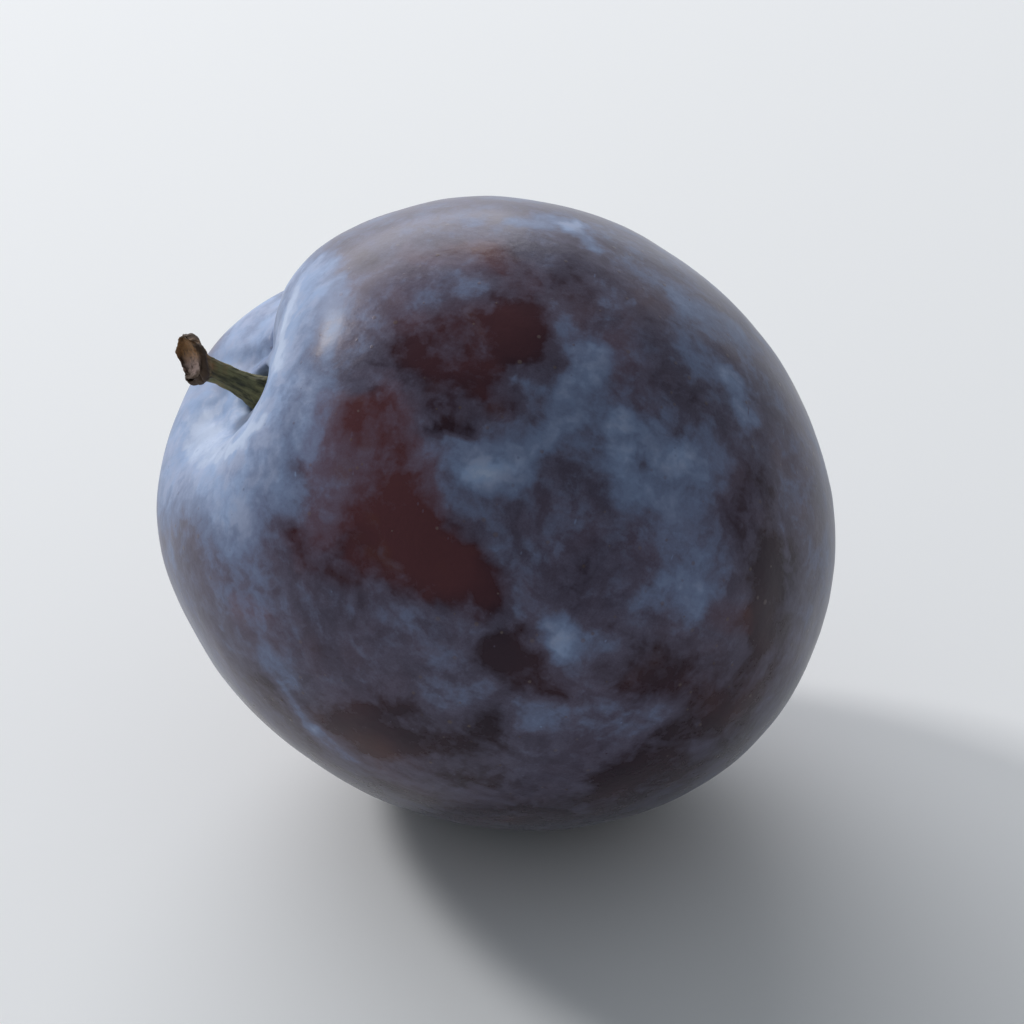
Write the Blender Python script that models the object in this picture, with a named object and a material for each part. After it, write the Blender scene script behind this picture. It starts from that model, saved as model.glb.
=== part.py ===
"""A ripe blue plum with its stem, lying tilted on the small flat spot where its flesh has settled.

Both are shaped upright: +Z runs from the tip to the stem, and +X points to the suture, the groove that
runs down one side. An empty leans them as the fruit lies.
"""

import math

import bmesh
import bpy
from mathutils import Matrix, Vector

MM = 0.001

# The fruit's main sizes, before the hollow round the stem is pressed into its end
HALF_LENGTH = 25.35 * MM
HALF_WIDTH = 23.5 * MM
HALF_DEPTH = 23.25 * MM
TIP_END_SWELL = 0.013
SHOULDER_FULLNESS = 0.985

# The hollow round the stem: a wide bowl with a narrow funnel at its middle
BOWL_DEPTH = 3.9 * MM
BOWL_RADIUS = 6.9 * MM
FUNNEL_DEPTH = 2.4 * MM
FUNNEL_RADIUS = 2.9 * MM
HOLLOW_SHIFT = 1.1 * MM

# The two cheeks on either side of the suture: the one on the +Y side stands higher at the stem
CHEEK_RISE = 0.45 * MM
CHEEK_POLAR = 0.52
CHEEK_SPREAD = 0.42

# The suture: a wide valley, deepest where it leaves the hollow, with a sharp crease down it
VALLEY_DEPTH = 0.55 * MM
VALLEY_RIM_DEPTH = 1.7 * MM
VALLEY_HALF_WIDTH = 4.2 * MM
VALLEY_SHIFT = 1.3 * MM
VALLEY_RIM_POLAR = 0.50
VALLEY_RIM_SPREAD = 0.36
CREASE_DEPTH = 0.42 * MM
CREASE_HALF_WIDTH = 0.8 * MM
SUTURE_START = 5.0 * MM
SUTURE_END_POLAR = 2.95
SUTURE_END_FADE = 0.5

# The tip, where the flower was: a shallow dimple with a tiny point in it
TIP_DIMPLE_DEPTH = 0.5 * MM
TIP_DIMPLE_RADIUS = 3.4 * MM
TIP_POINT_HEIGHT = 0.45 * MM
TIP_POINT_RADIUS = 0.8 * MM

# Gentle unevenness of the flesh, each swell as height, waves around, phase and twist along the fruit
SWELLS = (
    (0.48 * MM, 2, 3.55, 1.08),
    (0.44 * MM, 3, 4.96, -1.34),
    (0.11 * MM, 5, 4.0, 1.7),
)

# How the fruit lies: its axis above the table, which way the stem points, and the roll of the suture
AXIS_LIFT = math.radians(31.4)
STEM_HEADING = math.radians(184.1)
SUTURE_ROLL = math.radians(239.2)
SPOT_DEPTH = 0.62 * MM
SPOT_SOFTNESS = 0.07 * MM

# The stem: a flared foot, a thin waist, and a flange at the slanting end where it parted from its twig
STEM_LENGTH = 8.2 * MM
STEM_LEAN = Vector((0.4 * MM, 0.5 * MM, 0.0))
STEM_WAIST_RADIUS = 0.85 * MM
STEM_FOOT_RADIUS = 1.6 * MM
STEM_END_RADIUS = 1.6 * MM
STEM_FOOT_SPREAD = 0.27
STEM_END_START = 0.75
STEM_END_FULL = 0.92
STEM_SLANT_START = 0.2
STEM_SLANT_FULL = 0.7
STEM_RIBS = 5
STEM_RIB_SHARE = 0.06
STEM_TWIST = 2.0
STEM_END_SUNK = 0.35 * MM
STEM_END_SLANT = math.radians(33.0)
STEM_CLEARANCE = 0.3 * MM
SOCKET_DEPTH = 1.3 * MM

# How finely the skins are divided
MERIDIANS = 84
SKIN_RINGS = 50
STEM_SIDES = 20
STEM_RINGS = 18
CROWD_TO_SUTURE = 0.5
CROWD_TO_ENDS = 0.5
SHARP_FROM = math.radians(50.0)


def clear_scene():
    for thing in list(bpy.data.objects):
        bpy.data.objects.remove(thing)


def bump(distance, spread):
    """1 at no distance, falling to nothing past about twice the spread."""
    return math.exp(-((distance / spread) ** 2))


def ramp(value, start, end):
    """0 up to start, 1 from end on, and smooth between."""
    share = min(max((value - start) / (end - start), 0.0), 1.0)
    return share * share * (3.0 - 2.0 * share)


def hollow_depth(radial):
    bowl = BOWL_DEPTH * bump(radial, BOWL_RADIUS)
    funnel = FUNNEL_DEPTH * bump(radial, FUNNEL_RADIUS)
    return bowl + funnel


def tip_height(radial):
    point = TIP_POINT_HEIGHT * bump(radial, TIP_POINT_RADIUS)
    dimple = TIP_DIMPLE_DEPTH * bump(radial, TIP_DIMPLE_RADIUS)
    return point - dimple


def suture_depth(polar, forward, sideways):
    """How deep the suture lies at a point so far forward of the axis and sideways from the crease."""
    at_rim = VALLEY_RIM_DEPTH * bump(polar - VALLEY_RIM_POLAR, VALLEY_RIM_SPREAD)
    valley = (VALLEY_DEPTH + at_rim) * bump(sideways - VALLEY_SHIFT, VALLEY_HALF_WIDTH)
    crease = CREASE_DEPTH * math.exp(-abs(sideways) / CREASE_HALF_WIDTH)
    begun = ramp(forward, 0.0, SUTURE_START)
    ended = ramp(polar, SUTURE_END_POLAR - SUTURE_END_FADE, SUTURE_END_POLAR)
    return begun * (1.0 - ended) * (valley + crease)


def swell_height(polar, around):
    """The cheeks' uneven shoulders and the low swells that keep the fruit from being a plain oval."""
    cheeks = CHEEK_RISE * bump(polar - CHEEK_POLAR, CHEEK_SPREAD) * math.sin(around)
    swells = sum(
        height * math.sin(waves * around + phase + twist * polar)
        for height, waves, phase, twist in SWELLS
    )
    return cheeks + swells * math.sin(polar) ** 2


def skin_point(polar, around):
    """A point of the skin. Polar runs from the stem's end to the tip, and around starts at the suture."""
    widening = math.sin(polar) ** SHOULDER_FULLNESS * (1.0 - TIP_END_SWELL * math.cos(polar))
    forward = HALF_DEPTH * widening * math.cos(around)
    sideways = HALF_WIDTH * widening * math.sin(around)
    height = HALF_LENGTH * math.cos(polar)
    radial = math.hypot(forward, sideways)
    point = Vector((forward, sideways, height))
    raised = swell_height(polar, around) - suture_depth(polar, forward, sideways)
    point += point.normalized() * raised
    if polar < math.pi / 2:
        point.z -= hollow_depth(radial)
        point.x += HOLLOW_SHIFT * bump(radial, BOWL_RADIUS)
    else:
        point.z -= tip_height(radial)
    return point


def round_off(mesh):
    mesh.shade_smooth()
    mesh.set_sharp_from_angle(angle=SHARP_FROM)


def plain_material(name, colour, roughness):
    material = bpy.data.materials.new(name)
    material.use_nodes = True
    shader = material.node_tree.nodes["Principled BSDF"]
    shader.inputs["Base Color"].default_value = (*colour, 1.0)
    shader.inputs["Roughness"].default_value = roughness
    shader.inputs["Metallic"].default_value = 0.0
    return material


def socket_radius():
    return STEM_FOOT_RADIUS + STEM_CLEARANCE


def socket_ring_polar():
    """The polar angle at which the skin meets the stem's socket."""
    polar = 0.0
    while HALF_WIDTH * math.sin(polar) ** SHOULDER_FULLNESS < socket_radius():
        polar += 0.001
    return polar


def socket_centre():
    """The middle of the socket's rim, at the skin's mean height there."""
    polar = socket_ring_polar()
    around = [skin_point(polar, math.tau * i / MERIDIANS) for i in range(MERIDIANS)]
    return sum(around, Vector()) / MERIDIANS


def crowded_polar(level):
    """The polar angle of a level, which runs from 0 at the socket to 1 at the tip, crowded to both ends."""
    share = level - CROWD_TO_ENDS * math.sin(math.tau * level) / math.tau
    first = socket_ring_polar()
    return first + (math.pi - first) * share


def crowded_around(around):
    """The angle around the axis, moved closer to the suture at 0."""
    return around - CROWD_TO_SUTURE * math.sin(around)


def bend_to_skin(shape):
    """Moves the vertices of a round ball of radius 1, open at its top, to the fruit's skin."""
    socket = socket_centre()
    opening = math.pi / SKIN_RINGS
    for vert in shape.verts:
        level = (math.acos(max(min(vert.co.z, 1.0), -1.0)) - opening) / (math.pi - opening)
        around = crowded_around(math.atan2(vert.co.y, vert.co.x))
        if vert.is_boundary:
            rim = Vector((math.cos(around), math.sin(around), 0.0)) * socket_radius()
            vert.co = socket + rim
        else:
            vert.co = skin_point(crowded_polar(level), around)


def sink_socket(shape):
    """The socket's wall and floor, taken straight down from the open rim at the stem's end."""
    rim = [edge for edge in shape.edges if edge.is_boundary]
    wall = bmesh.ops.extrude_edge_only(shape, edges=rim)["geom"]
    lower_verts = [part for part in wall if isinstance(part, bmesh.types.BMVert)]
    lower_edges = [part for part in wall if isinstance(part, bmesh.types.BMEdge)]
    bmesh.ops.translate(shape, verts=lower_verts, vec=(0.0, 0.0, -SOCKET_DEPTH))
    bmesh.ops.edgeloop_fill(shape, edges=lower_edges)


def resting_pose(points):
    """The matrix that leans the fruit as it lies, with the middle of its flat spot at the origin."""
    lean = (
        Matrix.Rotation(STEM_HEADING, 4, "Z")
        @ Matrix.Rotation(math.pi / 2 - AXIS_LIFT, 4, "Y")
        @ Matrix.Rotation(SUTURE_ROLL, 4, "Z")
    )
    leaned = [lean @ point for point in points]
    table = min(point.z for point in leaned) + SPOT_DEPTH
    below = [point for point in leaned if point.z < table - SPOT_SOFTNESS]
    middle_x = (min(point.x for point in below) + max(point.x for point in below)) / 2
    middle_y = (min(point.y for point in below) + max(point.y for point in below)) / 2
    return Matrix.Translation((-middle_x, -middle_y, -table)) @ lean


def settle(point, pose):
    """The point raised to the table where the fruit would sink through it, with a soft edge."""
    height = (pose @ point).z
    if height >= SPOT_SOFTNESS:
        return point
    settled = 0.0
    if height > -SPOT_SOFTNESS:
        settled = (height + SPOT_SOFTNESS) ** 2 / (4.0 * SPOT_SOFTNESS)
    up = pose.to_3x3().inverted() @ Vector((0.0, 0.0, 1.0))
    return point + up * (settled - height)


def add_holder(pose):
    """The empty that leans the fruit and its stem."""
    holder = bpy.data.objects.new("resting_pose", None)
    bpy.context.scene.collection.objects.link(holder)
    holder.location = pose.to_translation()
    holder.rotation_euler = pose.to_euler()
    return holder


def add_node(name, shape, material):
    bmesh.ops.recalc_face_normals(shape, faces=shape.faces)
    mesh = bpy.data.meshes.new(name)
    shape.to_mesh(mesh)
    shape.free()
    round_off(mesh)
    mesh.materials.append(material)
    node = bpy.data.objects.new(name, mesh)
    bpy.context.scene.collection.objects.link(node)
    return node


def make_fruit():
    """The fruit, and the empty that leans it."""
    shape = bmesh.new()
    bmesh.ops.create_uvsphere(shape, u_segments=MERIDIANS, v_segments=SKIN_RINGS, radius=1.0)
    top = max(shape.verts, key=lambda vert: vert.co.z)
    bmesh.ops.delete(shape, geom=[top], context="VERTS")
    bend_to_skin(shape)
    sink_socket(shape)
    pose = resting_pose([vert.co for vert in shape.verts])
    for vert in shape.verts:
        vert.co = settle(vert.co, pose)
    fruit = add_node("fruit", shape, plain_material("plum skin", (0.045, 0.035, 0.075), 0.5))
    holder = add_holder(pose)
    fruit.parent = holder
    return fruit, holder


def stem_radius(share):
    foot = (STEM_FOOT_RADIUS - STEM_WAIST_RADIUS) * bump(share, STEM_FOOT_SPREAD)
    end = (STEM_END_RADIUS - STEM_WAIST_RADIUS) * ramp(share, STEM_END_START, STEM_END_FULL)
    return STEM_WAIST_RADIUS + foot + end


def stem_profile():
    """Radius and height of the straight stem's outline, from the middle of its foot to that of its end."""
    shares = [i / STEM_RINGS for i in range(STEM_RINGS + 1)]
    side = [(stem_radius(share), STEM_LENGTH * share) for share in shares]
    sunk = STEM_LENGTH - STEM_END_SUNK
    return [(0.0, 0.0), *side, (STEM_END_RADIUS * 0.6, sunk), (0.0, sunk)]


def bend_stem(point):
    """A point of the straight stem, once it is ribbed, leans, and slants towards its end."""
    share = min(point.z / STEM_LENGTH, 1.0)
    around = math.atan2(point.y, point.x)
    ribs = math.sin(STEM_RIBS * around + STEM_TWIST * share) * ramp(share, 0.0, 0.3)
    width = 1.0 + STEM_RIB_SHARE * ribs
    slant = math.tan(STEM_END_SLANT) * ramp(share, STEM_SLANT_START, STEM_SLANT_FULL)
    bent = Vector((point.x * width, point.y * width, point.z + slant * point.x * width))
    return bent + STEM_LEAN * share


def make_stem():
    shape = bmesh.new()
    outline = [shape.verts.new((radius, 0.0, height)) for radius, height in stem_profile()]
    edges = [shape.edges.new(pair) for pair in zip(outline, outline[1:])]
    bmesh.ops.spin(
        shape,
        geom=outline + edges,
        cent=(0.0, 0.0, 0.0),
        axis=(0.0, 0.0, 1.0),
        angle=math.tau,
        steps=STEM_SIDES,
        use_merge=True,
    )
    bmesh.ops.remove_doubles(shape, verts=shape.verts, dist=0.001 * MM)
    for vert in shape.verts:
        vert.co = bend_stem(vert.co)
    return add_node("stem", shape, plain_material("stem bark", (0.16, 0.12, 0.045), 0.75))


def main():
    clear_scene()
    fruit, holder = make_fruit()
    stem = make_stem()
    stem.parent = holder
    stem.location = socket_centre() + Vector((0.0, 0.0, STEM_CLEARANCE - SOCKET_DEPTH))


main()
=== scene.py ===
"""A ripe blue plum with its stem, dressed for a portrait: skin, bloom, bark and studio light."""

import math
import random

import bpy
import numpy as np
from mathutils import Matrix, Vector
from mathutils.noise import noise_vector, seed_set


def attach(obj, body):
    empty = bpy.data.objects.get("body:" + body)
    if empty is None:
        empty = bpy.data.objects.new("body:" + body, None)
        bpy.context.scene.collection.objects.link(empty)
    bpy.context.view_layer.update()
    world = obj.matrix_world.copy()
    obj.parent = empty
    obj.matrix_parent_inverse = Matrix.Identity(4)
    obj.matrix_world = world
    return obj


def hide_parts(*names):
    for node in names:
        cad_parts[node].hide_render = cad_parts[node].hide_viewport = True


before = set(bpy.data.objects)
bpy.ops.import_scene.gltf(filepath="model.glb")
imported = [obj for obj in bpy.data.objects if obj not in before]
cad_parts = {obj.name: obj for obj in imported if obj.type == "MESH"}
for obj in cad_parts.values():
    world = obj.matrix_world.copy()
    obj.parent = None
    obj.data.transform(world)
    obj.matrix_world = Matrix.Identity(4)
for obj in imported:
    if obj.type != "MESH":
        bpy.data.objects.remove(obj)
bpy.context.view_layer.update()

MM = 0.001

# How the fruit lies. Its own frame has +Z towards the stem and +X towards the suture.
AXIS_LIFT = math.radians(31.4)
STEM_HEADING = math.radians(184.1)
SUTURE_ROLL = math.radians(239.2)
FRUIT_CENTRE = Vector((-2.457 * MM, -1.238 * MM, 23.523 * MM))
LEAN = (
    Matrix.Rotation(STEM_HEADING, 4, "Z")
    @ Matrix.Rotation(math.pi / 2 - AXIS_LIFT, 4, "Y")
    @ Matrix.Rotation(SUTURE_ROLL, 4, "Z")
)
FRUIT_POSE = Matrix.Translation(FRUIT_CENTRE) @ LEAN
TO_FRUIT = FRUIT_POSE.inverted()

# The stem in the fruit's frame: its foot, the middle of its broken end and the way that end faces
STEM_FOOT = Vector((1.02 * MM, 0.0, 18.0 * MM))
STEM_LENGTH = 8.2 * MM
STEM_END = Vector((1.4, 0.48, 26.75)) * MM
STEM_END_FACING = Vector((-0.545, 0.0, 0.839)).normalized()
# the two places where the end juts out, and the way across it from its painted highlight to its
# brown wood
TOP_CORNER = Vector((3.1, -0.6, 26.8)) * MM
LOW_CORNER = Vector((-0.2, 1.3, 26.0)) * MM
ACROSS_THE_END = Vector((0.852, -0.340, 0.398))


# ---------------------------------------------------------------- modelling by hand


def deselect_all():
    if bpy.context.object and bpy.context.object.mode != "OBJECT":
        bpy.ops.object.mode_set(mode="OBJECT")
    bpy.ops.object.select_all(action="DESELECT")


def take_up(piece):
    """Makes the piece the only selected and the active one."""
    deselect_all()
    piece.select_set(True)
    bpy.context.view_layer.objects.active = piece


def merged_copy(node_name, name):
    """A copy of a solid, its loose triangles merged into quads so that it can be subdivided."""
    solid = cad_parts[node_name]
    piece = bpy.data.objects.new(name, solid.data.copy())
    piece.data.name = name
    piece.data.materials.clear()
    bpy.context.scene.collection.objects.link(piece)
    take_up(piece)
    bpy.ops.object.mode_set(mode="EDIT")
    bpy.ops.mesh.select_all(action="SELECT")
    bpy.ops.mesh.remove_doubles(threshold=0.001 * MM)
    bpy.ops.mesh.customdata_custom_splitnormals_clear()
    bpy.ops.mesh.mark_sharp(clear=True)
    bpy.ops.mesh.tris_convert_to_quads(
        face_threshold=math.radians(40.0), shape_threshold=math.radians(60.0)
    )
    bpy.ops.object.mode_set(mode="OBJECT")
    bpy.ops.object.shade_smooth()
    return piece


def apply_modifier(piece, modifier):
    take_up(piece)
    bpy.ops.object.modifier_apply(modifier=modifier.name)


def subdivide(piece, levels):
    smoother = piece.modifiers.new("smoother", "SUBSURF")
    smoother.levels = levels
    smoother.render_levels = levels
    apply_modifier(piece, smoother)


def weigh(piece, name, weight_at):
    """A vertex group, weighed by each point's place in the fruit's frame and as it rests, in mm."""
    group = piece.vertex_groups.new(name=name)
    for vert in piece.data.vertices:
        weight = weight_at(TO_FRUIT @ vert.co / MM, vert.co / MM)
        if weight > 0.001:
            group.add([vert.index], min(weight, 1.0), "REPLACE")
    return name


def push(piece, group, height, texture=None, guide=None):
    """Moves the group's surface out by the height, or by half of it up and down by a texture."""
    pusher = piece.modifiers.new("pusher", "DISPLACE")
    pusher.vertex_group = group
    pusher.strength = height
    pusher.mid_level = 0.5 if texture else 0.0
    pusher.texture = texture
    if guide:
        pusher.texture_coords = "OBJECT"
        pusher.texture_coords_object = guide
    apply_modifier(piece, pusher)


def pull(piece, is_picked, move, reach):
    """Moves the picked points, and softly those within reach of them."""
    take_up(piece)
    bpy.ops.object.mode_set(mode="EDIT")
    bpy.ops.mesh.select_mode(type="VERT")
    bpy.ops.mesh.select_all(action="DESELECT")
    bpy.ops.object.mode_set(mode="OBJECT")
    for vert in piece.data.vertices:
        vert.select = is_picked(TO_FRUIT @ vert.co / MM)
    bpy.ops.object.mode_set(mode="EDIT")
    bpy.ops.transform.translate(
        value=move,
        use_proportional_edit=True,
        proportional_edit_falloff="SMOOTH",
        proportional_size=reach,
    )
    bpy.ops.object.mode_set(mode="OBJECT")


def cloud(name, size, depth=2):
    texture = bpy.data.textures.new(name, "CLOUDS")
    texture.noise_scale = size
    texture.noise_depth = depth
    texture.noise_basis = "IMPROVED_PERLIN"
    return texture


def ramp(value, start, end):
    """0 at start, 1 at end, smooth between."""
    share = min(max((value - start) / (end - start), 0.0), 1.0)
    return share * share * (3.0 - 2.0 * share)


# ---------------------------------------------------------------- the fruit

SKIN_LEVELS = 2

# Heights and sizes of what the solid leaves out, in millimetres
DENT_HEIGHT, DENT_SIZE = 0.5, 13.0
WAVE_HEIGHT, WAVE_SIZE = 0.12, 3.6
PUCKER_HEIGHT, PUCKER_SIZE = 0.45, 2.4
LIP_HEIGHT = 0.80
CREASE_DEPTH = 0.38
CREASE_HALF_WIDTH = 0.42
HOLLOW_MIDDLE_X = 1.0


def off_the_table(_, resting):
    """Nothing where the fruit lies on its flat spot, all of it from 5 mm up."""
    return ramp(resting.z, 0.3, 5.0)


def in_the_crease(upright, resting):
    """Down the middle of the suture, from the hollow to just short of the tip."""
    if upright.x < 0.0:
        return 0.0
    along = ramp(upright.x, 3.0, 7.0) * ramp(upright.z, -25.0, -20.0)
    across = math.exp(-((upright.y / CREASE_HALF_WIDTH) ** 2))
    return along * across * off_the_table(upright, resting)


def in_the_hollow(upright, _):
    """Round the stem's hollow, and not on the socket's lip in its middle."""
    reach = math.hypot(upright.x - HOLLOW_MIDDLE_X, upright.y)
    return ramp(upright.z, 10.0, 17.0) * (1.0 - ramp(reach, 5.0, 9.5)) * ramp(reach, 2.2, 3.4)


def round_the_stem(upright, _):
    """The lip of the socket, where the skin has grown up to the stem."""
    reach = math.hypot(upright.x - STEM_FOOT.x / MM, upright.y)
    return ramp(upright.z, 19.6, 20.3) * (1.0 - ramp(reach, 2.5, 3.7))


def make_skin():
    skin = merged_copy("fruit", "plum_skin")
    subdivide(skin, SKIN_LEVELS)
    lying_free = weigh(skin, "lying free", off_the_table)
    push(skin, lying_free, DENT_HEIGHT * MM, cloud("soft dents", DENT_SIZE * MM, 1))
    push(skin, lying_free, WAVE_HEIGHT * MM, cloud("skin waves", WAVE_SIZE * MM, 1))
    hollow = weigh(skin, "hollow", in_the_hollow)
    push(skin, hollow, PUCKER_HEIGHT * MM, cloud("puckers", PUCKER_SIZE * MM, 1))
    push(skin, weigh(skin, "lip", round_the_stem), LIP_HEIGHT * MM)
    push(skin, weigh(skin, "crease", in_the_crease), -CREASE_DEPTH * MM)
    skin.vertex_groups.clear()
    paint_strokes(skin)
    return skin


# ---------------------------------------------------------------- strokes on the skin

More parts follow.
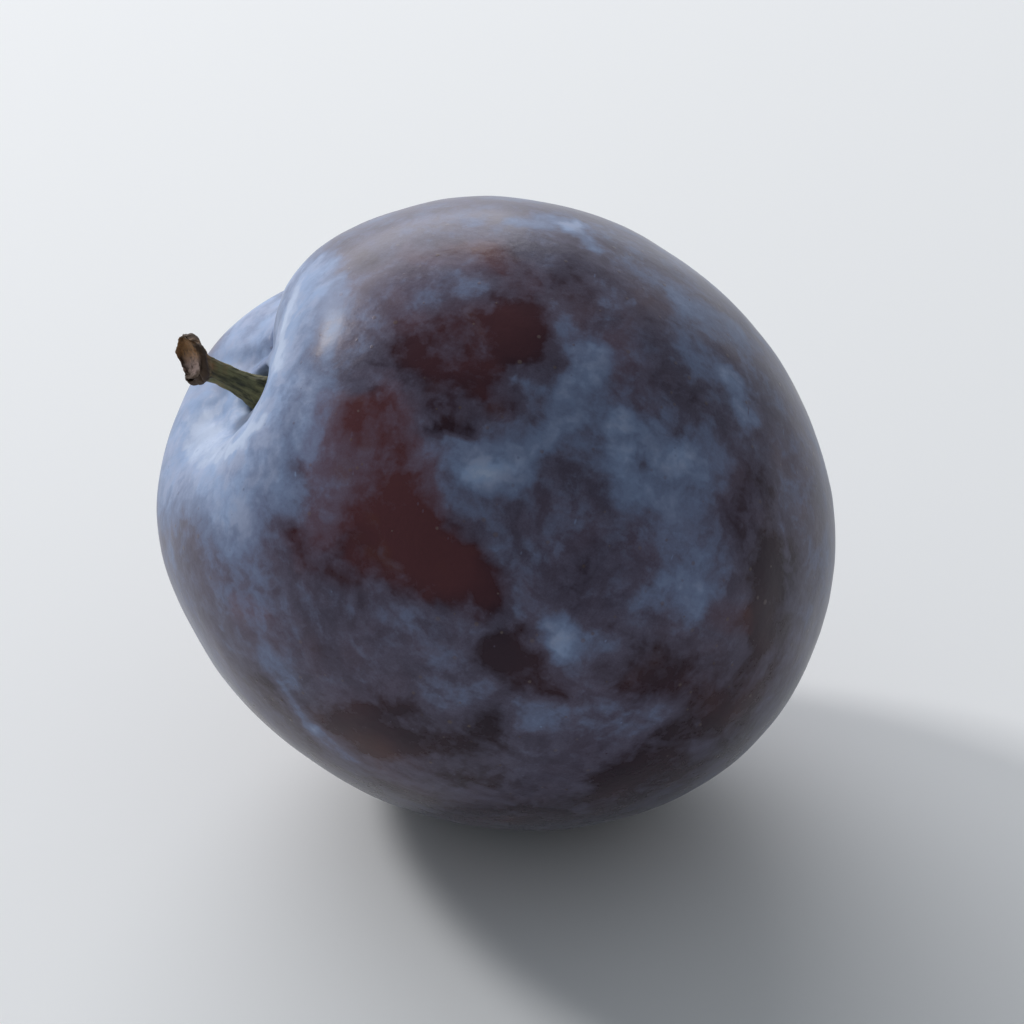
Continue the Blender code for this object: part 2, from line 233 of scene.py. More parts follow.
# Each stroke: from, to and half width in the fruit's frame in millimetres, how much bloom it adds
# or rubs off, and how red the skin under it is
STROKES = (
    # the pale ridge by the hollow, the hollow and the skin beside them
    ((7.0, -8.8, 22.4), (0.6, -8.4, 22.0), 1.8, 0.34, 0.00),
    # a thin line along the hollow's near rim: bloom, painted paler as a rim of light
    ((8.8, -7.0, 21.6), (0.0, -6.8, 22.6), 0.6, 0.34, 0.00),
    # these two rub bloom off in the hollow's notch and on its far wall: painted shade
    ((4.4, 0.8, 20.6), (5.2, -4.0, 22.2), 2.1, -0.34, 0.00),
    ((9.6, 3.6, 20.4), (5.8, 3.4, 21.4), 1.2, -0.12, 0.00),
    ((-2.0, -9.0, 22.0), (-4.4, -5.8, 22.2), 1.2, 0.14, 0.00),
    ((-5.8, -1.2, 22.6), (-0.8, 6.2, 22.4), 1.8, 0.34, 0.00),
    # a thin line on the hollow's near rim: bloom, painted paler as a rim of light
    ((-5.6, -2.4, 22.6), (-5.0, -6.8, 22.2), 0.7, 0.50, 0.00),
    ((5.0, -10.6, 21.2), (2.6, -11.8, 21.4), 1.2, 0.36, 0.00),
    # a pale spot on the ridge's top: bloom that also paints in a glint of light
    ((0.6, -11.2, 20.8), (-0.6, -12.2, 20.6), 0.7, 0.40, 0.00),
    ((-3.0, -10.8, 20.6), (-6.4, -8.4, 21.2), 2.1, 0.28, 0.05),
    ((-4.0, -12.0, 20.4), (-7.0, -11.0, 20.4), 1.5, 0.28, 0.05),
    ((-8.4, -7.2, 21.2), (-10.0, -4.8, 21.2), 2.1, 0.26, 0.00),
    ((-10.8, -8.0, 20.0), (-12.4, -3.6, 21.6), 2.1, 0.26, 0.10),
    ((9.0, -10.2, 20.4), (7.0, -12.8, 19.0), 1.0, -0.22, 0.00),
    ((-11.2, -2.4, 22.4), (-17.4, -1.2, 15.8), 3.3, 0.22, 0.12),
    ((-2.2, 8.8, 23.4), (-10.6, 7.4, 22.0), 1.5, 0.12, 0.00),
    ((-8.6, 2.6, 23.0), (-11.6, 2.2, 21.6), 1.2, -0.10, 0.10),
    # the mauve skin behind the ridge
    ((4.2, -13.4, 20.6), (6.0, -16.0, 17.4), 2.1, 0.06, 0.30),
    ((0.8, -14.0, 19.6), (2.2, -15.6, 17.8), 1.8, 0.06, 0.30),
    ((7.8, -15.8, 16.4), (7.6, -19.0, 13.2), 1.5, -0.02, 0.35),
    ((5.4, -18.6, 14.8), (4.8, -18.8, 13.6), 0.7, 0.14, 0.00),
    ((8.0, -19.0, 12.6), (6.4, -20.6, 11.0), 1.6, -0.16, 0.35),
    # the top edge
    ((11.8, -11.8, 17.4), (12.0, -15.8, 14.6), 0.9, 0.16, 0.00),
    ((8.2, -14.8, 16.8), (9.2, -18.2, 12.4), 1.3, -0.16, 0.10),
    ((13.2, -16.6, 11.0), (14.8, -17.4, 8.0), 0.9, 0.42, 0.00),
    ((14.6, -17.8, 7.4), (12.6, -19.4, 5.0), 0.9, 0.50, 0.00),
    ((12.0, -19.6, 3.6), (12.2, -20.0, 0.4), 1.5, 0.14, 0.00),
    # the red patch, veiled on its left
    ((-6.6, -16.2, 17.0), (-11.2, -16.0, 14.0), 2.5, -0.34, 0.95),
    ((-7.8, -16.4, 15.4), (-10.8, -16.4, 13.8), 1.2, -0.12, 0.45),
    ((-6.2, -12.4, 19.8), (-12.4, -10.8, 17.4), 2.1, -0.05, 1.00),
    ((-6.8, -14.4, 18.6), (-12.2, -12.8, 16.0), 1.2, -0.10, 0.85),
    ((-14.0, -13.4, 14.0), (-15.0, -15.8, 10.6), 2.4, -0.38, 0.52),
    ((-13.2, -16.0, 11.8), (-16.0, -16.0, 7.8), 2.1, -0.40, 0.32),
    ((-14.8, -17.0, 8.0), (-15.4, -17.2, 7.2), 1.2, -0.30, 0.25),
    ((-13.8, -8.0, 17.0), (-15.4, -10.6, 14.2), 1.5, -0.24, 0.30),
    # the dark patch above it
    ((-0.4, -17.4, 16.6), (1.6, -20.0, 12.0), 3.1, -0.38, 0.26),
    ((-3.2, -18.8, 13.6), (-2.2, -19.6, 12.6), 2.1, -0.22, 0.20),
    ((2.8, -20.4, 10.6), (0.0, -21.8, 8.6), 1.8, -0.34, 0.08),
    ((-2.4, -20.6, 11.8), (-3.4, -21.0, 10.6), 1.2, -0.30, 0.20),
    ((-6.2, -18.8, 13.6), (-6.2, -19.2, 12.2), 0.9, -0.40, 0.00),
    ((-2.8, -15.0, 19.4), (-5.6, -18.4, 14.6), 0.6, 0.12, 0.20),
    ((7.2, -20.8, 8.2), (5.4, -21.4, 6.6), 1.2, -0.20, 0.00),
    ((3.8, -21.0, 10.2), (3.4, -21.6, 7.2), 0.7, 0.24, 0.00),
    # blue smears across the middle
    ((-4.2, -22.6, 6.8), (-3.2, -23.0, -2.4), 4.2, 0.17, 0.00),
    ((-9.0, -18.2, 13.8), (-6.0, -22.2, 7.2), 1.4, 0.44, 0.00),
    ((-8.4, -19.2, 10.8), (-8.4, -20.6, 8.0), 1.2, 0.42, 0.00),
    ((-9.8, -17.8, 12.0), (-8.8, -19.8, 10.2), 1.2, 0.30, 0.00),
    ((-3.2, -22.6, 6.4), (2.2, -22.4, 5.0), 1.5, 0.38, 0.00),
    ((-2.2, -23.2, 2.0), (-5.4, -22.4, 1.2), 1.0, 0.40, 0.00),
    ((-2.8, -22.6, 0.0), (-3.2, -23.0, -2.6), 1.2, 0.26, 0.00),
    ((-7.2, -22.6, 0.4), (-5.8, -22.8, -1.8), 1.2, 0.28, 0.00),
    ((-11.0, -18.8, 10.2), (-9.4, -20.4, 7.4), 0.9, 0.10, 0.00),
    ((-5.8, -22.2, 5.2), (-5.6, -22.0, 3.6), 1.2, 0.10, 0.00),
    ((-8.4, -21.4, 7.4), (-7.6, -22.0, 5.0), 0.7, -0.06, 0.00),
    ((-9.8, -17.6, 13.0), (-9.6, -18.0, 12.4), 0.6, -0.16, 0.00),
    # the upper right
    ((4.0, -22.4, 3.0), (-0.4, -23.8, 1.6), 1.5, -0.06, 0.30),
    ((2.8, -22.4, 0.2), (1.4, -22.8, -2.4), 1.5, -0.20, 0.10),
    ((10.0, -21.0, -1.2), (10.4, -19.4, -6.8), 1.8, 0.30, 0.00),
    ((7.2, -22.4, -1.4), (4.2, -21.6, -4.8), 1.5, 0.20, 0.00),
    ((5.6, -21.8, -6.4), (3.0, -22.2, -7.6), 1.2, 0.48, 0.00),
    ((-3.2, -23.0, -2.6), (-3.0, -22.0, -7.0), 1.5, 0.20, 0.05),
    ((6.4, -20.6, -8.6), (-1.6, -22.2, -10.8), 1.2, -0.10, 0.00),
    # the right, its dark edge of bare skin and painted shade, and a painted glint
    ((-9.8, -21.2, 3.6), (-11.4, -20.4, 5.0), 1.8, 0.04, 0.20),
    ((-8.8, -22.2, -1.8), (-7.0, -21.8, -6.4), 2.1, 0.14, 0.05),
    ((-10.2, -21.6, -4.8), (-10.2, -20.6, -8.0), 1.5, 0.20, 0.00),
    # bloom rubbed off the right edge: bare skin and painted shade
    ((-3.0, -22.0, -9.6), (-9.2, -18.6, -14.4), 2.1, -0.26, 0.04),
    # a small pale streak: painted glint
    ((-2.8, -20.0, -13.2), (-4.2, -20.0, -14.8), 0.4, 0.40, 0.00),
    ((-12.4, -20.6, -4.2), (-11.4, -20.2, -7.2), 1.3, 0.24, 0.00),
    ((-11.0, -19.4, -9.4), (-10.6, -18.6, -12.6), 1.0, -0.24, 0.35),
    # the lower middle
    ((-13.6, -19.6, 2.4), (-15.0, -18.0, -1.6), 1.8, -0.20, 0.10),
    ((-15.2, -17.6, 4.8), (-16.8, -16.8, 2.2), 1.5, 0.08, 0.10),
    ((-17.0, -16.6, 1.6), (-16.4, -17.2, -3.4), 1.2, 0.42, 0.00),
    ((-17.4, -16.4, 0.2), (-18.4, -15.6, 0.0), 0.9, 0.34, 0.00),
    ((-18.6, -15.2, 2.8), (-19.6, -14.4, 0.6), 2.2, -0.54, 0.10),
    ((-17.2, -17.4, -4.2), (-14.4, -15.8, -11.4), 2.7, -0.38, 0.10),
    ((-20.8, -12.6, -1.2), (-18.0, -13.2, -8.2), 1.8, 0.18, 0.00),
    ((-11.0, -15.8, -16.0), (-7.4, -17.6, -16.4), 0.9, 0.14, 0.00),
    ((-20.4, -9.6, 5.4), (-19.8, -12.6, 2.4), 1.2, 0.18, 0.00),
    ((-16.6, -11.0, 12.4), (-18.0, -11.8, 11.2), 0.9, 0.10, 0.10),
    ((-18.8, -12.2, 9.8), (-19.2, -11.8, 6.6), 0.9, 0.12, 0.10),
    ((-21.2, -2.0, 9.8), (-21.2, -7.4, 7.0), 1.8, -0.16, 0.10),
    # these three rub bloom off along the lower edge and the lower right: bare skin and painted
    # shade
    ((-22.2, -1.6, 7.4), (-21.8, -8.6, 0.6), 2.4, -0.38, 0.00),
    ((-4.8, -20.0, -14.6), (-14.2, -13.4, -16.2), 2.7, -0.38, 0.00),
    ((-16.0, -13.2, -13.0), (-19.4, -8.6, -10.8), 2.4, -0.28, 0.00),
    # the lower left
    ((-20.2, 0.8, 12.2), (-21.2, 1.4, 9.6), 1.0, 0.44, 0.00),
    ((-21.0, 1.8, 8.6), (-22.0, 2.4, 6.2), 1.0, 0.34, 0.00),
    ((-15.6, -0.2, 18.0), (-15.8, -2.0, 16.2), 0.9, -0.06, 0.50),
    ((-17.6, -2.2, 15.4), (-19.6, -5.2, 12.2), 1.5, -0.14, 0.05),
    ((-16.6, 0.8, 17.0), (-19.6, 3.0, 12.2), 1.8, -0.18, 0.12),
    ((-13.4, -7.2, 19.0), (-16.4, -6.8, 15.8), 0.4, 0.14, 0.10),
    ((-16.6, -7.2, 15.6), (-19.2, -7.0, 12.0), 0.9, -0.06, 0.05),
    # bloom along the suture and round the tip, and rubbed skin beside it
    ((12.0, 0.5, 20.5), (20.5, 0.5, 11.0), 2.6, 0.40, 0.00),
    ((20.5, 0.5, 11.0), (23.3, 0.0, -2.0), 3.2, 0.38, 0.00),
    ((23.3, 0.0, -2.0), (17.0, 0.0, -17.0), 3.0, 0.42, 0.00),
    ((17.0, 0.0, -17.0), (5.0, 0.0, -24.5), 3.0, 0.34, 0.00),
    ((21.0, 8.0, 6.0), (21.5, 7.5, -4.0), 2.6, -0.32, 0.35),
    ((20.5, -9.5, -2.0), (17.5, -10.0, -11.0), 2.8, -0.32, 0.25),
    ((13.0, 18.5, 5.0), (4.0, 22.5, 2.0), 3.2, -0.32, 0.40),
)

# The other sides get more strokes of the same kind: how many, and the first of their random draws
SCATTERED_STROKES = 90
SCATTERED_SEED = 12
SEEN_SIDE = Vector((-0.44, -0.82, 0.37))
FRUIT_HALF_SIZE = (23.5, 23.3, 25.2)

# A stroke is whole in its middle and fades out between these shares of its half width
STROKE_EDGE_END = 1.45
STROKE_EDGE = 0.9

# Painted shade: the bloom thins towards the bottom, up to this many millimetres, so that the lower
# part is darker
PAINTED_SHADE_HEIGHT = 22.0
PAINTED_SHADE_DEPTH = 0.52

# Without a seed this noise would differ from one run to the next
UNSTEADY_SEED = 7


def scattered_strokes():
    """Strokes for the sides that the picture doesn't show."""
    chance = random.Random(SCATTERED_SEED)
    strokes = []
    while len(strokes) < SCATTERED_STROKES:
        way = Vector([chance.gauss(0.0, 1.0) for _ in range(3)]).normalized()
        aside = way.cross(Vector([chance.gauss(0.0, 1.0) for _ in range(3)])).normalized()
        turn = chance.uniform(0.02, 0.35)
        width = chance.uniform(0.9, 2.8)
        bloom = chance.uniform(0.18, 0.42) * chance.choice((1.0, -1.0, -1.0))
        red = chance.uniform(0.0, 0.4) if bloom < 0.0 else 0.0
        if way.dot(SEEN_SIDE) > 0.08 or way.z > 0.92:
            continue
        ends = [(way * math.cos(a) + aside * math.sin(a)) for a in (-turn / 2, turn / 2)]
        ends = [tuple(part * half for part, half in zip(end, FRUIT_HALF_SIZE)) for end in ends]
        strokes.append((*ends, width, bloom, red))
    return strokes


def unsteady(spot):
    """A spot as an unsteady hand finds it, so that the strokes' edges are uneven."""
    return (
        spot
        + noise_vector(spot * 0.22) * 1.3
        + noise_vector(spot * 0.60 + Vector((9.0, 2.0, 5.0))) * 0.7
        + noise_vector(spot * 1.50 + Vector((3.0, 7.0, 1.0))) * 0.3
    )


def paint_strokes(skin):
    """Paints the bloom and the redness that the strokes give onto the skin's points."""
    seed_set(UNSTEADY_SEED)
    spots = np.array([unsteady(TO_FRUIT @ vert.co / MM) for vert in skin.data.vertices])
    bloom = np.zeros(len(spots))
    redness = np.zeros(len(spots))
    for start, end, width, bloom_here, red_here in (*STROKES, *scattered_strokes()):
        start, line = np.array(start), np.subtract(end, start)
        share = np.clip((spots - start) @ line / max(line @ line, 0.01), 0.0, 1.0)
        away = np.linalg.norm(spots - start - share[:, None] * line, axis=1) / width
        cover = np.clip((STROKE_EDGE_END - away) / STROKE_EDGE, 0.0, 1.0)
        cover = cover * cover * (3.0 - 2.0 * cover)
        bloom += cover * bloom_here
        redness += cover * red_here
    # painted shade: less bloom, so darker skin, the lower a point rests
    heights = np.array([vert.co.z / MM for vert in skin.data.vertices])
    lower = np.clip((PAINTED_SHADE_HEIGHT - heights) / PAINTED_SHADE_HEIGHT, 0.0, 1.0)
    bloom -= PAINTED_SHADE_DEPTH * lower * (2.0 - lower)
    for name, values in (("bloom strokes", bloom), ("red strokes", redness)):
        layer = skin.data.attributes.new(name, "FLOAT", "POINT")
        layer.data.foreach_set("value", values.astype(np.float32))


# ---------------------------------------------------------------- the stem

STEM_LEVELS = 3

# Heights, depths and sizes of what the solid leaves out, in millimetres
END_SHORTENED = 0.45
END_SHORTENED_REACH = 3.0
END_WORN = 0.35
CORNER_HEIGHT = 0.50
RIDGE_HEIGHT, RIDGE_SIZE = 0.30, 0.42
KNOT_HEIGHT, KNOT_SIZE = 0.22, 1.1
FIBRE_HEIGHT, FIBRE_SIZE = 0.40, 0.6
RIDGE_STRETCH = 7.0


def stem_share(upright):
    """0 at the stem's foot, 1 at its end."""
    return (upright.z - STEM_FOOT.z / MM) * MM / STEM_LENGTH


def on_the_tip(upright):
    return stem_share(upright) > 0.9


def on_the_bark(upright, _):
    """All over the stem, and less on its end."""
    return 1.0 - 0.6 * ramp(stem_share(upright), 0.85, 1.0)


def by_the_end(upright, _):
    return ramp(stem_share(upright), 0.72, 0.9)


def on_the_end(upright, _):
    """On the broken face, fading out down the side of the flange."""
    return ramp(STEM_END_FACING.dot(upright - STEM_END / MM), -0.9, -0.3)


def by_a_corner(upright, _):
    """Round the two places where the broken end juts out."""
    nearest = min((upright - corner / MM).length for corner in (TOP_CORNER, LOW_CORNER))
    return 1.0 - ramp(nearest, 0.3, 1.3)


def make_stem():
    stem = merged_copy("stem", "plum_stem")
    subdivide(stem, STEM_LEVELS)
    shorter = LEAN.to_3x3() @ Vector((0.0, 0.0, -END_SHORTENED * MM))
    pull(stem, on_the_tip, shorter, END_SHORTENED_REACH * MM)
    push(stem, weigh(stem, "broken face", on_the_end), -END_WORN * MM)
    push(stem, weigh(stem, "corners", by_a_corner), CORNER_HEIGHT * MM)
    bark = weigh(stem, "bark", on_the_bark)
    end = weigh(stem, "broken end", by_the_end)

    # an empty, longer along the stem, makes the ridges run that way
    grain_guide = bpy.data.objects.new("grain guide", None)
    bpy.context.scene.collection.objects.link(grain_guide)
    grain_guide.matrix_world = FRUIT_POSE @ Matrix.Diagonal((1.0, 1.0, RIDGE_STRETCH, 1.0))
    bpy.context.view_layer.update()
    push(stem, bark, RIDGE_HEIGHT * MM, cloud("bark ridges", RIDGE_SIZE * MM), grain_guide)
    bpy.data.objects.remove(grain_guide)

    push(stem, bark, KNOT_HEIGHT * MM, cloud("bark knots", KNOT_SIZE * MM))
    push(stem, end, FIBRE_HEIGHT * MM, cloud("torn fibres", FIBRE_SIZE * MM))
    stem.vertex_groups.clear()
    return stem


# ---------------------------------------------------------------- nodes of a material


def node(tree, kind, *inputs, output=None, **settings):
    """Adds a node. Each input is a value, a socket to link, or None to leave it be."""
    made = tree.nodes.new(kind)
    named = settings.pop("named", {})
    for key, value in settings.items():
        setattr(made, key, value)
    sockets = [s for s in made.inputs if s.enabled]
    for socket, value in [*zip(sockets, inputs), *((made.inputs[k], v) for k, v in named.items())]:
        if value is None:
            continue
        if isinstance(value, bpy.types.NodeSocket):
            tree.links.new(value, socket)
        else:
            socket.default_value = value
    if output is not None:
        return made.outputs[output]
    return next(s for s in made.outputs if s.enabled)


def maths(tree, operation, *inputs):
    return node(tree, "ShaderNodeMath", *inputs, operation=operation)


def vector_maths(tree, operation, *inputs, output=0):
    return node(tree, "ShaderNodeVectorMath", *inputs, operation=operation, output=output)


def total(tree, *values):
    result = values[0]
    for value in values[1:]:
        result = maths(tree, "ADD", result, value)
    return result


def times(tree, *values):
    result = values[0]
    for value in values[1:]:
        result = maths(tree, "MULTIPLY", result, value)
    return result


def distance(tree, place, spot):
    away = vector_maths(tree, "SUBTRACT", place, spot)
    return vector_maths(tree, "LENGTH", away, output="Value")


def scaled(tree, vector, by):
    return node(tree, "ShaderNodeVectorMath", vector, operation="SCALE", named={"Scale": by})


def fade(tree, value, start, end):
    """0 at start, 1 at end, smooth between."""
    return node(
        tree, "ShaderNodeMapRange", value, start, end, 0.0, 1.0, interpolation_type="SMOOTHSTEP"
    )


def centred(tree, value, height):
    """A texture's value made to swing evenly about nothing, by half the height."""
    return maths(tree, "MULTIPLY", maths(tree, "SUBTRACT", value, 0.5), height)


def noise(tree, place, per_mm, detail=2.0, roughness=0.5, colour=False):
    named = {"Scale": per_mm, "Detail": detail, "Roughness": roughness, "Vector": place}
    output = "Color" if colour else "Fac"
    return node(tree, "ShaderNodeTexNoise", named=named, output=output, normalize=True)


def blend_colours(tree, share, first, second):
    mix = tree.nodes.new("ShaderNodeMix")
    mix.data_type = "RGBA"
    for socket, value in ((mix.inputs[0], share), (mix.inputs[6], first), (mix.inputs[7], second)):
        if isinstance(value, bpy.types.NodeSocket):
            tree.links.new(value, socket)
        elif socket.type == "RGBA":
            socket.default_value = (*value, 1.0)
        else:
            socket.default_value = value
    return mix.outputs[2]


def bump(tree, height):
    """A normal from a height in millimetres."""
    return node(tree, "ShaderNodeBump", named={"Strength": 1.0, "Distance": MM, "Height": height})


def upright_millimetres(tree):
    """Places in the fruit's own frame, in millimetres."""
    here = node(tree, "ShaderNodeTexCoord", output="Object")
    turned = LEAN.to_euler()
    size = (MM, MM, MM)
    return node(
        tree, "ShaderNodeMapping", here, FRUIT_CENTRE, turned, size, vector_type="TEXTURE"
    )


def warped(tree, place, *swirls):
    """The place pushed about by noises, each of so many swirls a millimetre and a reach in mm."""
    moved = place
    for per_mm, reach in swirls:
        swirl = noise(tree, place, per_mm, colour=True)
        aside = vector_maths(tree, "SUBTRACT", swirl, (0.5, 0.5, 0.5))
        moved = vector_maths(tree, "ADD", moved, scaled(tree, aside, reach))
    return moved


def stretched(tree, place, turn, scale):
    """The place turned and squeezed, so that a noise on it runs in streaks."""
    return node(tree, "ShaderNodeMapping", place, None, [math.radians(t) for t in turn], scale)


def cells(tree, place, per_mm):
    """A Voronoi texture's distance to its nearest point, and that point's own random value."""
    voronoi = tree.nodes.new("ShaderNodeTexVoronoi")
    voronoi.inputs["Scale"].default_value = per_mm
    tree.links.new(place, voronoi.inputs["Vector"])
    return voronoi.outputs["Distance"], voronoi.outputs["Color"]


def scratches(tree, place, turn, spacing, width):
    """Straight thin scratches that run one way, some millimetres long and tapered at both ends."""
    squeezed = stretched(tree, place, turn, (0.05 / spacing, 1.0 / spacing, 1.0 / spacing))
    away, chance = cells(tree, squeezed, 1.0)
    picked = maths(tree, "GREATER_THAN", chance, 0.45)
    return times(tree, fade(tree, away, width, 0.3 * width), picked)


def plateaus(tree, place, per_mm, height, detail):
    """Patches with fairly sharp edges that swing evenly about nothing, by half the height."""
    return centred(tree, fade(tree, noise(tree, place, per_mm, detail, 0.5), 0.40, 0.60), height)


# ---------------------------------------------------------------- the skin's material

# Colours of the skin, from bare to thickly bloomed
BARE_DARK = (0.017, 0.007, 0.014)
BARE_RED = (0.092, 0.029, 0.032)
BARE_BROWN = (0.130, 0.050, 0.022)
THIN_BLOOM = (0.196, 0.192, 0.285)
THICK_BLOOM = (0.285, 0.385, 0.585)
PALE_BLOOM = (0.325, 0.385, 0.545)
SMEAR_BLUE = (0.215, 0.340, 0.565)
# the palest, where the bloom lies thickest, which on the hollow's near rim also paints in a rim of
# light
FROST_AND_RIM_LIGHT = (0.460, 0.540, 0.700)
DOT_COLOUR = (0.230, 0.190, 0.175)

# How much bloom there is before anything adds to it or rubs it off, and what the rest adds
EVEN_BLOOM = 0.47
SHELTERED_BLOOM = 0.80
STROKE_BLOOM = 0.85
LARGE_PATCHES, MIDDLING_PATCHES, SMALL_PATCHES = (0.17, 0.12), (0.42, 0.11), (1.0, 0.10)
BRUSHED_HEIGHT = 0.24
WIPED_HEIGHT = 0.26
GRAIN_HEIGHT = 0.24
PALE_SCRATCH_HEIGHT = 0.26
DARK_SCRATCH_DEPTH = 0.30
DOT_DEPTH = 0.20

# The bottom of the stem's hollow, in the fruit's frame in millimetres
HOLLOW_BOTTOM = (1.0, 0.0, 21.5)

# How strongly each layer of bloom covers what is under it
THIN_COVER = 0.52
THICK_COVER = 0.95
DOT_COVER = 0.34

# Noises that push the pattern about, each with its swirls a millimetre and its reach
SKIN_SWIRLS = (0.16, 2.6), (0.50, 0.8)
DOTS_PER_MM = 0.75
SMALLEST_DOT, DOT_GROWTH = 0.04, 0.13

# Gloss and sheen: bare skin is smoother than bloomed skin
BARE_ROUGHNESS, THIN_ROUGHNESS, THICK_ROUGHNESS = 0.27, 0.12, 0.11
BARE_COAT, COAT_LOST_TO_BLOOM = 0.08, 0.06
COAT_ROUGHNESS = 0.17
SKIN_IOR = 1.38
GLOSS_LEVEL = 0.32
GLOSS_TINT = (0.88, 0.84, 1.0, 1.0)
SHEEN_WEIGHT = 0.15
SHEEN_ROUGHNESS = 0.35
SHEEN_TINT = (0.72, 0.82, 1.0, 1.0)

# Relief, in millimetres
BROAD_RELIEF = 0.022
FINE_RELIEF = 0.005
DOT_RELIEF = 0.008


def bloom_field(tree, place, soft, dots):
    """How much bloom lies where: nothing is bare skin, 1 and more is whole bloom."""
    stroke_bloom = node(tree, "ShaderNodeAttribute", attribute_name="bloom strokes", output="Fac")
    # the bloom is whole in the hollow, where nothing rubs
    sheltered = fade(tree, distance(tree, soft, HOLLOW_BOTTOM), 14.0, 6.0)
    slanting = stretched(tree, soft, (20.0, 35.0, 50.0), (0.35, 1.3, 0.8))
    lengthways = stretched(tree, soft, (0.0, 0.0, 0.0), (1.0, 1.0, 0.14))
    pale_scratches = maths(
        tree,
        "MAXIMUM",
        scratches(tree, place, (10.0, 50.0, 35.0), 1.7, 0.070),
        scratches(tree, place, (35.0, 20.0, -40.0), 2.3, 0.050),
    )
    dark_scratches = scratches(tree, place, (70.0, -30.0, 80.0), 2.0, 0.055)
    return total(
        tree,
        EVEN_BLOOM,
        times(tree, sheltered, SHELTERED_BLOOM),
        times(tree, stroke_bloom, STROKE_BLOOM),
        plateaus(tree, soft, *LARGE_PATCHES, 2.0),
        plateaus(tree, soft, *MIDDLING_PATCHES, 2.0),
        plateaus(tree, soft, *SMALL_PATCHES, 2.0),
        centred(tree, noise(tree, slanting, 0.55, 2.0, 0.5), BRUSHED_HEIGHT),
        centred(tree, noise(tree, lengthways, 0.9, 3.0, 0.6), WIPED_HEIGHT),
        centred(tree, noise(tree, place, 3.0, 4.0, 0.7), GRAIN_HEIGHT),
        times(tree, pale_scratches, PALE_SCRATCH_HEIGHT),
        times(tree, dark_scratches, -DARK_SCRATCH_DEPTH),
        times(tree, dots, -DOT_DEPTH),
    )


def bloom_layers(tree, field, soft):
    """The bloom in two layers with fairly crisp edges: a thin veil, and smears up to whole."""
    clouds = plateaus(tree, soft, 0.65, 0.14, 3.0)
    thin = total(
        tree,
        times(tree, fade(tree, field, 0.02, 0.34), 0.52),
        times(tree, fade(tree, total(tree, field, clouds), 0.20, 0.70), 0.48),
    )
    density = total(tree, 0.38, times(tree, fade(tree, field, 0.70, 1.25), 0.60))
    thick = times(tree, fade(tree, field, 0.42, 0.84), density)
    return thin, thick


def bare_skin_colour(tree, soft, dots):
    """Nearly black, wine red and here and there a brown glow, with pale dots all over it."""
    stroke_red = node(tree, "ShaderNodeAttribute", attribute_name="red strokes", output="Fac")
    red_noise = centred(tree, noise(tree, soft, 0.12, 3.0, 0.5), 1.1)
    redness = fade(tree, total(tree, 0.22, stroke_red, red_noise), 0.0, 1.15)
    bare = blend_colours(tree, redness, BARE_DARK, BARE_RED)
    glow = times(tree, fade(tree, noise(tree, soft, 0.25, 2.0), 0.55, 0.75), redness, 0.5)
    bare = blend_colours(tree, glow, bare, BARE_BROWN)
    return blend_colours(tree, times(tree, dots, DOT_COVER), bare, DOT_COLOUR)


def bloomed_colour(tree, place, soft, field, thin, thick, bare):
    """The bare skin under its powdery veil and its smears, which are paler where thicker."""
    powder = total(tree, 1.0, centred(tree, noise(tree, place, 7.0, 3.0, 0.7), 0.8))
    colour = blend_colours(tree, times(tree, thin, powder, THIN_COVER), bare, THIN_BLOOM)
    heaped = fade(tree, noise(tree, soft, 0.5, 3.0, 0.6), 0.35, 0.65)
    whole = blend_colours(tree, heaped, THICK_BLOOM, PALE_BLOOM)
    # palest of all where the field is highest, as on the hollow's near rim: thick bloom and painted
    # rim light
    whole = blend_colours(tree, fade(tree, field, 1.25, 1.65), whole, FROST_AND_RIM_LIGHT)
    smears = blend_colours(tree, fade(tree, field, 0.65, 1.15), SMEAR_BLUE, whole)
    return blend_colours(tree, times(tree, thick, THICK_COVER), colour, smears)


def skin_material():
    material = bpy.data.materials.new("bloomed plum skin")
    material.use_nodes = True
    tree = material.node_tree
    shader = tree.nodes["Principled BSDF"]
    place = upright_millimetres(tree)
    soft = warped(tree, place, *SKIN_SWIRLS)

    to_dot, dot_chance = cells(tree, place, DOTS_PER_MM)
    dot_size = maths(tree, "MULTIPLY_ADD", dot_chance, DOT_GROWTH, SMALLEST_DOT)
    dots = fade(tree, maths(tree, "DIVIDE", to_dot, dot_size), 1.15, 0.55)
    field = bloom_field(tree, place, soft, dots)
    thin, thick = bloom_layers(tree, field, soft)
    bare = bare_skin_colour(tree, soft, dots)
    colour = bloomed_colour(tree, place, soft, field, thin, thick, bare)
    tree.links.new(colour, shader.inputs["Base Color"])

    roughness = total(
        tree, BARE_ROUGHNESS, times(tree, thin, THIN_ROUGHNESS), times(tree, thick, THICK_ROUGHNESS)
    )
    tree.links.new(roughness, shader.inputs["Roughness"])
    coat = maths(tree, "MULTIPLY_ADD", thick, -COAT_LOST_TO_BLOOM, BARE_COAT)
    tree.links.new(coat, shader.inputs["Coat Weight"])

    height = total(
        tree,
        times(tree, noise(tree, place, 1.6, 3.0, 0.5), BROAD_RELIEF),
        times(tree, noise(tree, place, 6.0, 2.0, 0.6), FINE_RELIEF),
        times(tree, dots, DOT_RELIEF),
    )
    tree.links.new(bump(tree, height), shader.inputs["Normal"])
    shader.inputs["Coat Roughness"].default_value = COAT_ROUGHNESS
    shader.inputs["IOR"].default_value = SKIN_IOR
    shader.inputs["Specular IOR Level"].default_value = GLOSS_LEVEL
    shader.inputs["Specular Tint"].default_value = GLOSS_TINT
    shader.inputs["Sheen Weight"].default_value = SHEEN_WEIGHT
    shader.inputs["Sheen Roughness"].default_value = SHEEN_ROUGHNESS
    shader.inputs["Sheen Tint"].default_value = SHEEN_TINT
    return material


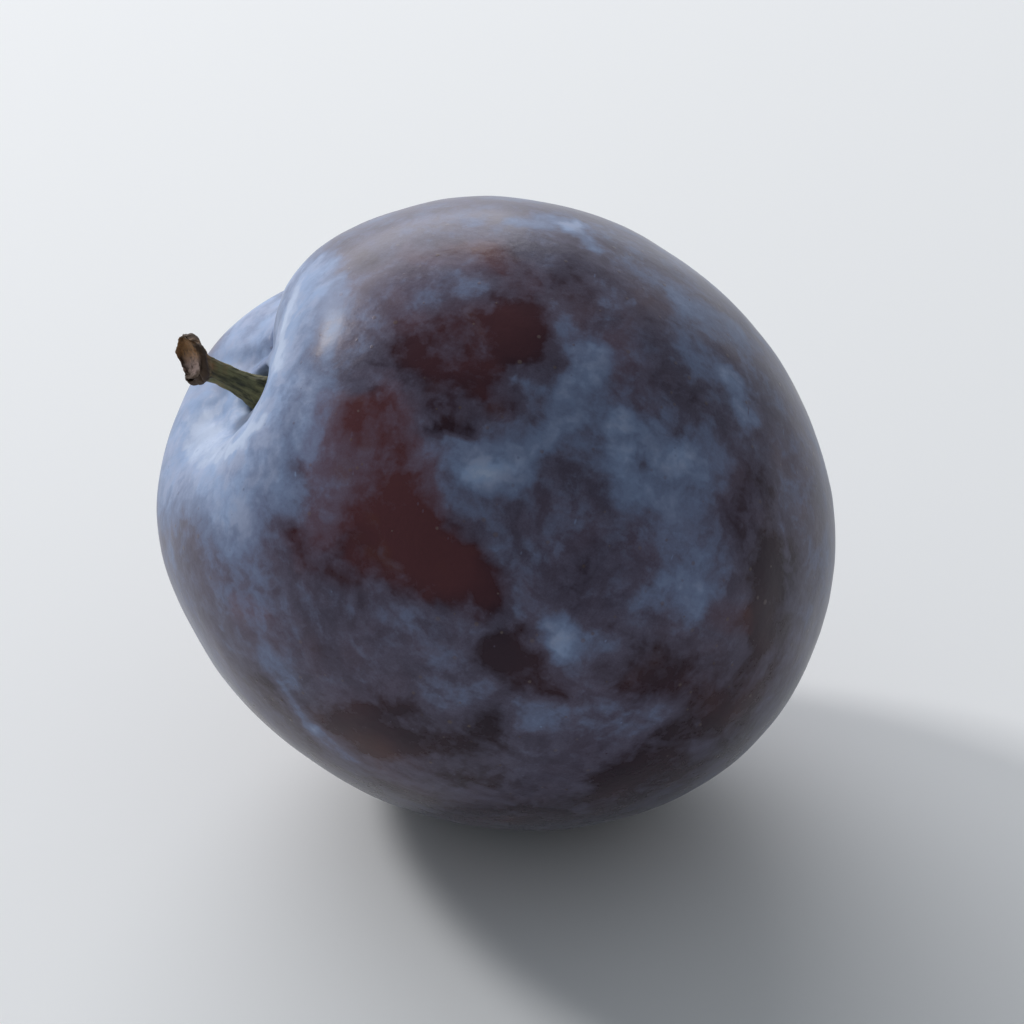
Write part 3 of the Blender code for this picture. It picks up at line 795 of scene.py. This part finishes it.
# ---------------------------------------------------------------- the stem's material

# Bark: its grooves and its fibres, olive on the shaft and brown towards the end
OLIVE_GROOVES, OLIVE_FIBRES = (0.034, 0.032, 0.013), (0.225, 0.205, 0.082)
BROWN_GROOVES, BROWN_FIBRES = (0.048, 0.022, 0.010), (0.300, 0.150, 0.050)

# The broken end
# pale pinkish grey on the end's low side: painted highlight
PALE_END_HIGHLIGHT = (0.270, 0.190, 0.165)
BROWN_WOOD = (0.270, 0.140, 0.055)
DARK_FIBRES = (0.060, 0.032, 0.018)
TORN_RIM = (0.060, 0.031, 0.014)

# The grain is squeezed across the stem and drawn out along it
GRAIN_PER_MM = (2.6, 2.6, 0.32)
KNOTS_PER_MM = 0.9
FIBRE_RELIEF = 0.10
KNOT_RELIEF = 0.05
BARK_ROUGHNESS = 0.72


def broken_end(tree, place, fibres, knots):
    """How much a spot is on the broken end, and its colour there."""
    from_end = vector_maths(tree, "SUBTRACT", place, STEM_END / MM)
    proud = vector_maths(tree, "DOT_PRODUCT", from_end, STEM_END_FACING, output="Value")
    on_end = fade(tree, total(tree, proud, centred(tree, knots, 0.6)), -1.25, -0.85)

    # brown wood on one side, a pale pinkish grey painted highlight on the other, with dark fibres
    # in both
    across = vector_maths(tree, "DOT_PRODUCT", from_end, ACROSS_THE_END, output="Value")
    brown_side = fade(tree, total(tree, across, centred(tree, fibres, 1.2)), -0.7, 0.5)
    wood = blend_colours(tree, brown_side, PALE_END_HIGHLIGHT, BROWN_WOOD)
    wood = blend_colours(tree, fade(tree, fibres, 0.55, 0.30), wood, DARK_FIBRES)

    # inside a dark torn rim
    from_middle = distance(tree, from_end, scaled(tree, STEM_END_FACING, proud))
    inside = fade(tree, total(tree, from_middle, centred(tree, knots, 0.9)), 1.55, 1.15)
    return on_end, blend_colours(tree, inside, TORN_RIM, wood)


def bark_material():
    material = bpy.data.materials.new("dry stem bark")
    material.use_nodes = True
    tree = material.node_tree
    shader = tree.nodes["Principled BSDF"]
    place = upright_millimetres(tree)
    grain = node(tree, "ShaderNodeMapping", place, None, None, GRAIN_PER_MM)
    fibres = noise(tree, grain, 1.0, 4.0, 0.65)
    knots = noise(tree, place, KNOTS_PER_MM, 3.0, 0.6)

    light_fibres = fade(tree, fibres, 0.3, 0.7)
    olive = blend_colours(tree, light_fibres, OLIVE_GROOVES, OLIVE_FIBRES)
    brown = blend_colours(tree, light_fibres, BROWN_GROOVES, BROWN_FIBRES)
    from_foot = vector_maths(tree, "SUBTRACT", place, STEM_FOOT / MM)
    up_stem = node(tree, "ShaderNodeSeparateXYZ", from_foot, output="Z")
    share = maths(tree, "DIVIDE", up_stem, STEM_LENGTH / MM)
    browning = fade(tree, total(tree, share, centred(tree, knots, 0.70)), 0.66, 0.98)
    bark = blend_colours(tree, browning, olive, brown)
    on_end, end_colour = broken_end(tree, place, fibres, knots)
    colour = blend_colours(tree, on_end, bark, end_colour)
    tree.links.new(colour, shader.inputs["Base Color"])

    height = total(tree, times(tree, fibres, FIBRE_RELIEF), times(tree, knots, KNOT_RELIEF))
    tree.links.new(bump(tree, height), shader.inputs["Normal"])
    shader.inputs["Roughness"].default_value = BARK_ROUGHNESS
    return material


# ---------------------------------------------------------------- stage

FLOOR_SIZE = 4.0
FLOOR_GREY = (0.90, 0.90, 0.90, 1.0)
FLOOR_ROUGHNESS = 0.9
FLOOR_GLOSS = 0.2
ROOM_LIGHT = (0.86, 0.93, 1.0, 1.0)
ROOM_STRENGTH = 0.29

# Name, place and size in metres, power in watts, and colour
SOFTBOXES = (
    ("skylight", (-0.35, 1.10, 0.66), (1.20, 0.80), 11.6, (0.95, 0.965, 1.0)),
    ("window", (-0.60, 0.38, 0.50), (0.14, 0.14), 3.2, (1.0, 1.0, 1.0)),
    ("back wall", (0.10, 1.60, 0.45), (2.60, 0.90), 5.0, (1.0, 1.0, 1.0)),
)

# The camera looks down at the fruit as in the picture
CAMERA_ELEVATION = math.radians(34.0)
CAMERA_DISTANCE = 0.42
CAMERA_LENS = 200.0
CAMERA_SENSOR = 36.0
CAMERA_CLIP_START = 0.01
CAMERA_AIM = Vector((-0.0015, 0.0, 0.0232))


def floor_material():
    material = bpy.data.materials.new("pale paper floor")
    material.use_nodes = True
    shader = material.node_tree.nodes["Principled BSDF"]
    shader.inputs["Base Color"].default_value = FLOOR_GREY
    shader.inputs["Roughness"].default_value = FLOOR_ROUGHNESS
    shader.inputs["Specular IOR Level"].default_value = FLOOR_GLOSS
    return material


def make_floor():
    deselect_all()
    bpy.ops.mesh.primitive_plane_add(size=FLOOR_SIZE, location=(0.0, 0.0, 0.0))
    floor = bpy.context.object
    floor.name = "paper_floor"
    floor.data.materials.append(floor_material())


def add_softbox(name, place, size, power, colour):
    """An area light turned to the fruit."""
    deselect_all()
    bpy.ops.object.light_add(type="AREA", location=place)
    light = bpy.context.object
    light.name = name
    light.data.shape = "RECTANGLE"
    light.data.size, light.data.size_y = size
    light.data.energy = power
    light.data.color = colour
    light.rotation_euler = (FRUIT_CENTRE - Vector(place)).to_track_quat("-Z", "Y").to_euler()


def make_light():
    world = bpy.data.worlds.new("pale room")
    world.use_nodes = True
    background = world.node_tree.nodes["Background"]
    background.inputs["Color"].default_value = ROOM_LIGHT
    background.inputs["Strength"].default_value = ROOM_STRENGTH
    bpy.context.scene.world = world
    for softbox in SOFTBOXES:
        add_softbox(*softbox)


def make_camera():
    deselect_all()
    back = Vector((0.0, -math.cos(CAMERA_ELEVATION), math.sin(CAMERA_ELEVATION)))
    bpy.ops.object.camera_add(location=CAMERA_AIM + back * CAMERA_DISTANCE)
    camera = bpy.context.object
    camera.name = "portrait camera"
    camera.rotation_euler = (-back).to_track_quat("-Z", "Y").to_euler()
    camera.data.lens = CAMERA_LENS
    camera.data.sensor_width = CAMERA_SENSOR
    camera.data.clip_start = CAMERA_CLIP_START
    bpy.context.scene.camera = camera


def dress(piece, material, node_name):
    piece.data.materials.append(material)
    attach(piece, "root")
    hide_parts(node_name)


make_camera()
dress(make_skin(), skin_material(), "fruit")
dress(make_stem(), bark_material(), "stem")
make_floor()
make_light()
bpy.context.scene.view_settings.view_transform = "Standard"
